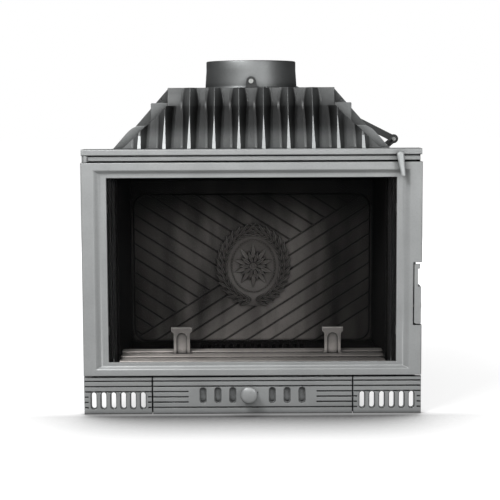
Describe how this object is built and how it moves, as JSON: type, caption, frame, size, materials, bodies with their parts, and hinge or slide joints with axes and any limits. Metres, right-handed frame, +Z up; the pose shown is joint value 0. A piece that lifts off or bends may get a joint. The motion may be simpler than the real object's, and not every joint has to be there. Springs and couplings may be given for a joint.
{
  "type": "fireplace insert",
  "caption": "Cast-iron fireplace insert with a glazed side-hinged door, ash drawer with air shutter, finned hood and round flue collar with a lever-operated damper.",
  "frame": {"origin": "middle of the underside of the ash housing, on the floor", "axes": "+X to the right as seen from the front, +Y towards the back (the door faces -Y), +Z up"},
  "size_m": [0.7, 0.446, 0.735],
  "materials": {
    "face_iron": "graphite grey heat-proof paint, satin",
    "hood_iron": "dark grey painted casting",
    "body_iron": "dark grey painted casting, rough",
    "firebox_iron": "matt black casting",
    "glass": "clear ceramic glass",
    "rope": "grey glass-fibre rope",
    "steel": "bare steel"
  },
  "bodies": {
    "carcass": {"front_frame": "face_iron", "hinge_strap": "steel", "hinge_pins": "steel", "latch_keeper": "steel", "top_plate": "face_iron", "plinth_grille_left": "face_iron", "plinth_grille_right": "face_iron", "ash_housing": "body_iron", "floor_plate": "body_iron", "side_wall_left": "body_iron", "side_wall_right": "body_iron", "back_wall": "body_iron", "tie_lugs": "body_iron", "tie_rods": "steel", "tie_nuts": "steel", "fireback": "firebox_iron", "liner_left": "firebox_iron", "liner_right": "firebox_iron", "baffle": "firebox_iron", "front_sill": "firebox_iron", "hearth_plate": "firebox_iron", "ash_grate": "firebox_iron", "log_guard_left": "firebox_iron", "log_guard_right": "firebox_iron", "hood_front": "hood_iron", "hood_side_left": "hood_iron", "hood_side_right": "hood_iron", "hood_back": "hood_iron", "hood_top": "hood_iron", "flue_collar": "hood_iron", "shaft_bracket": "body_iron"},
    "door": {"door_frame": "face_iron", "door_glass": "glass", "glass_tape": "rope", "door_rope": "rope", "glass_clips": "steel", "clip_screws": "steel", "latch_pivot_pin": "steel"},
    "latch": {"latch_lever": "face_iron"},
    "ash_drawer": {"drawer_front": "face_iron", "ash_pan": "body_iron"},
    "air_control": {"air_shutter": "body_iron", "air_knob": "face_iron"},
    "damper_control": {"damper_lever": "face_iron", "control_shaft": "steel", "control_crank": "hood_iron", "control_pin": "steel"},
    "damper_link": {"damper_link": "hood_iron"},
    "damper_flap": {"damper_flap": "hood_iron", "flap_shaft": "steel", "flap_crank": "hood_iron", "flap_pin": "steel"}
  },
  "joints": [
    {"name": "door_hinge", "type": "hinge", "parent": "carcass", "child": "door", "pos_m": [-0.341, -0.2075, 0.3], "axis": [0, 0, -1], "range_deg": [0, 110]},
    {"name": "latch_turn", "type": "hinge", "parent": "door", "child": "latch", "pos_m": [0.341, -0.2065, 0.225], "axis": [1, 0, 0], "range_deg": [-10, 0]},
    {"name": "drawer_slide", "type": "slide", "parent": "carcass", "child": "ash_drawer", "axis": [0, -1, 0], "range_m": [0, 0.28]},
    {"name": "shutter_slide", "type": "slide", "parent": "ash_drawer", "child": "air_control", "axis": [1, 0, 0], "range_m": [0, 0.01545]},
    {"name": "damper_turn", "type": "hinge", "parent": "carcass", "child": "damper_control", "pos_m": [0.303, -0.2185, 0.537], "axis": [0, 1, 0], "range_deg": [-80, 0]},
    {"name": "link_swing", "type": "hinge", "parent": "damper_control", "child": "damper_link", "pos_m": [0.3327, 0.191, 0.562], "axis": [0, 1, 0], "range_deg": [0, 80]},
    {"name": "flap_turn", "type": "hinge", "parent": "carcass", "child": "damper_flap", "pos_m": [0, 0.0165, 0.6906], "axis": [0, 1, 0], "range_deg": [-80, 0]}
  ],
  "couplings": [
    {"joint": "link_swing", "follows": "damper_turn", "ratio": -1},
    {"joint": "flap_turn", "follows": "damper_turn", "ratio": 1}
  ]
}
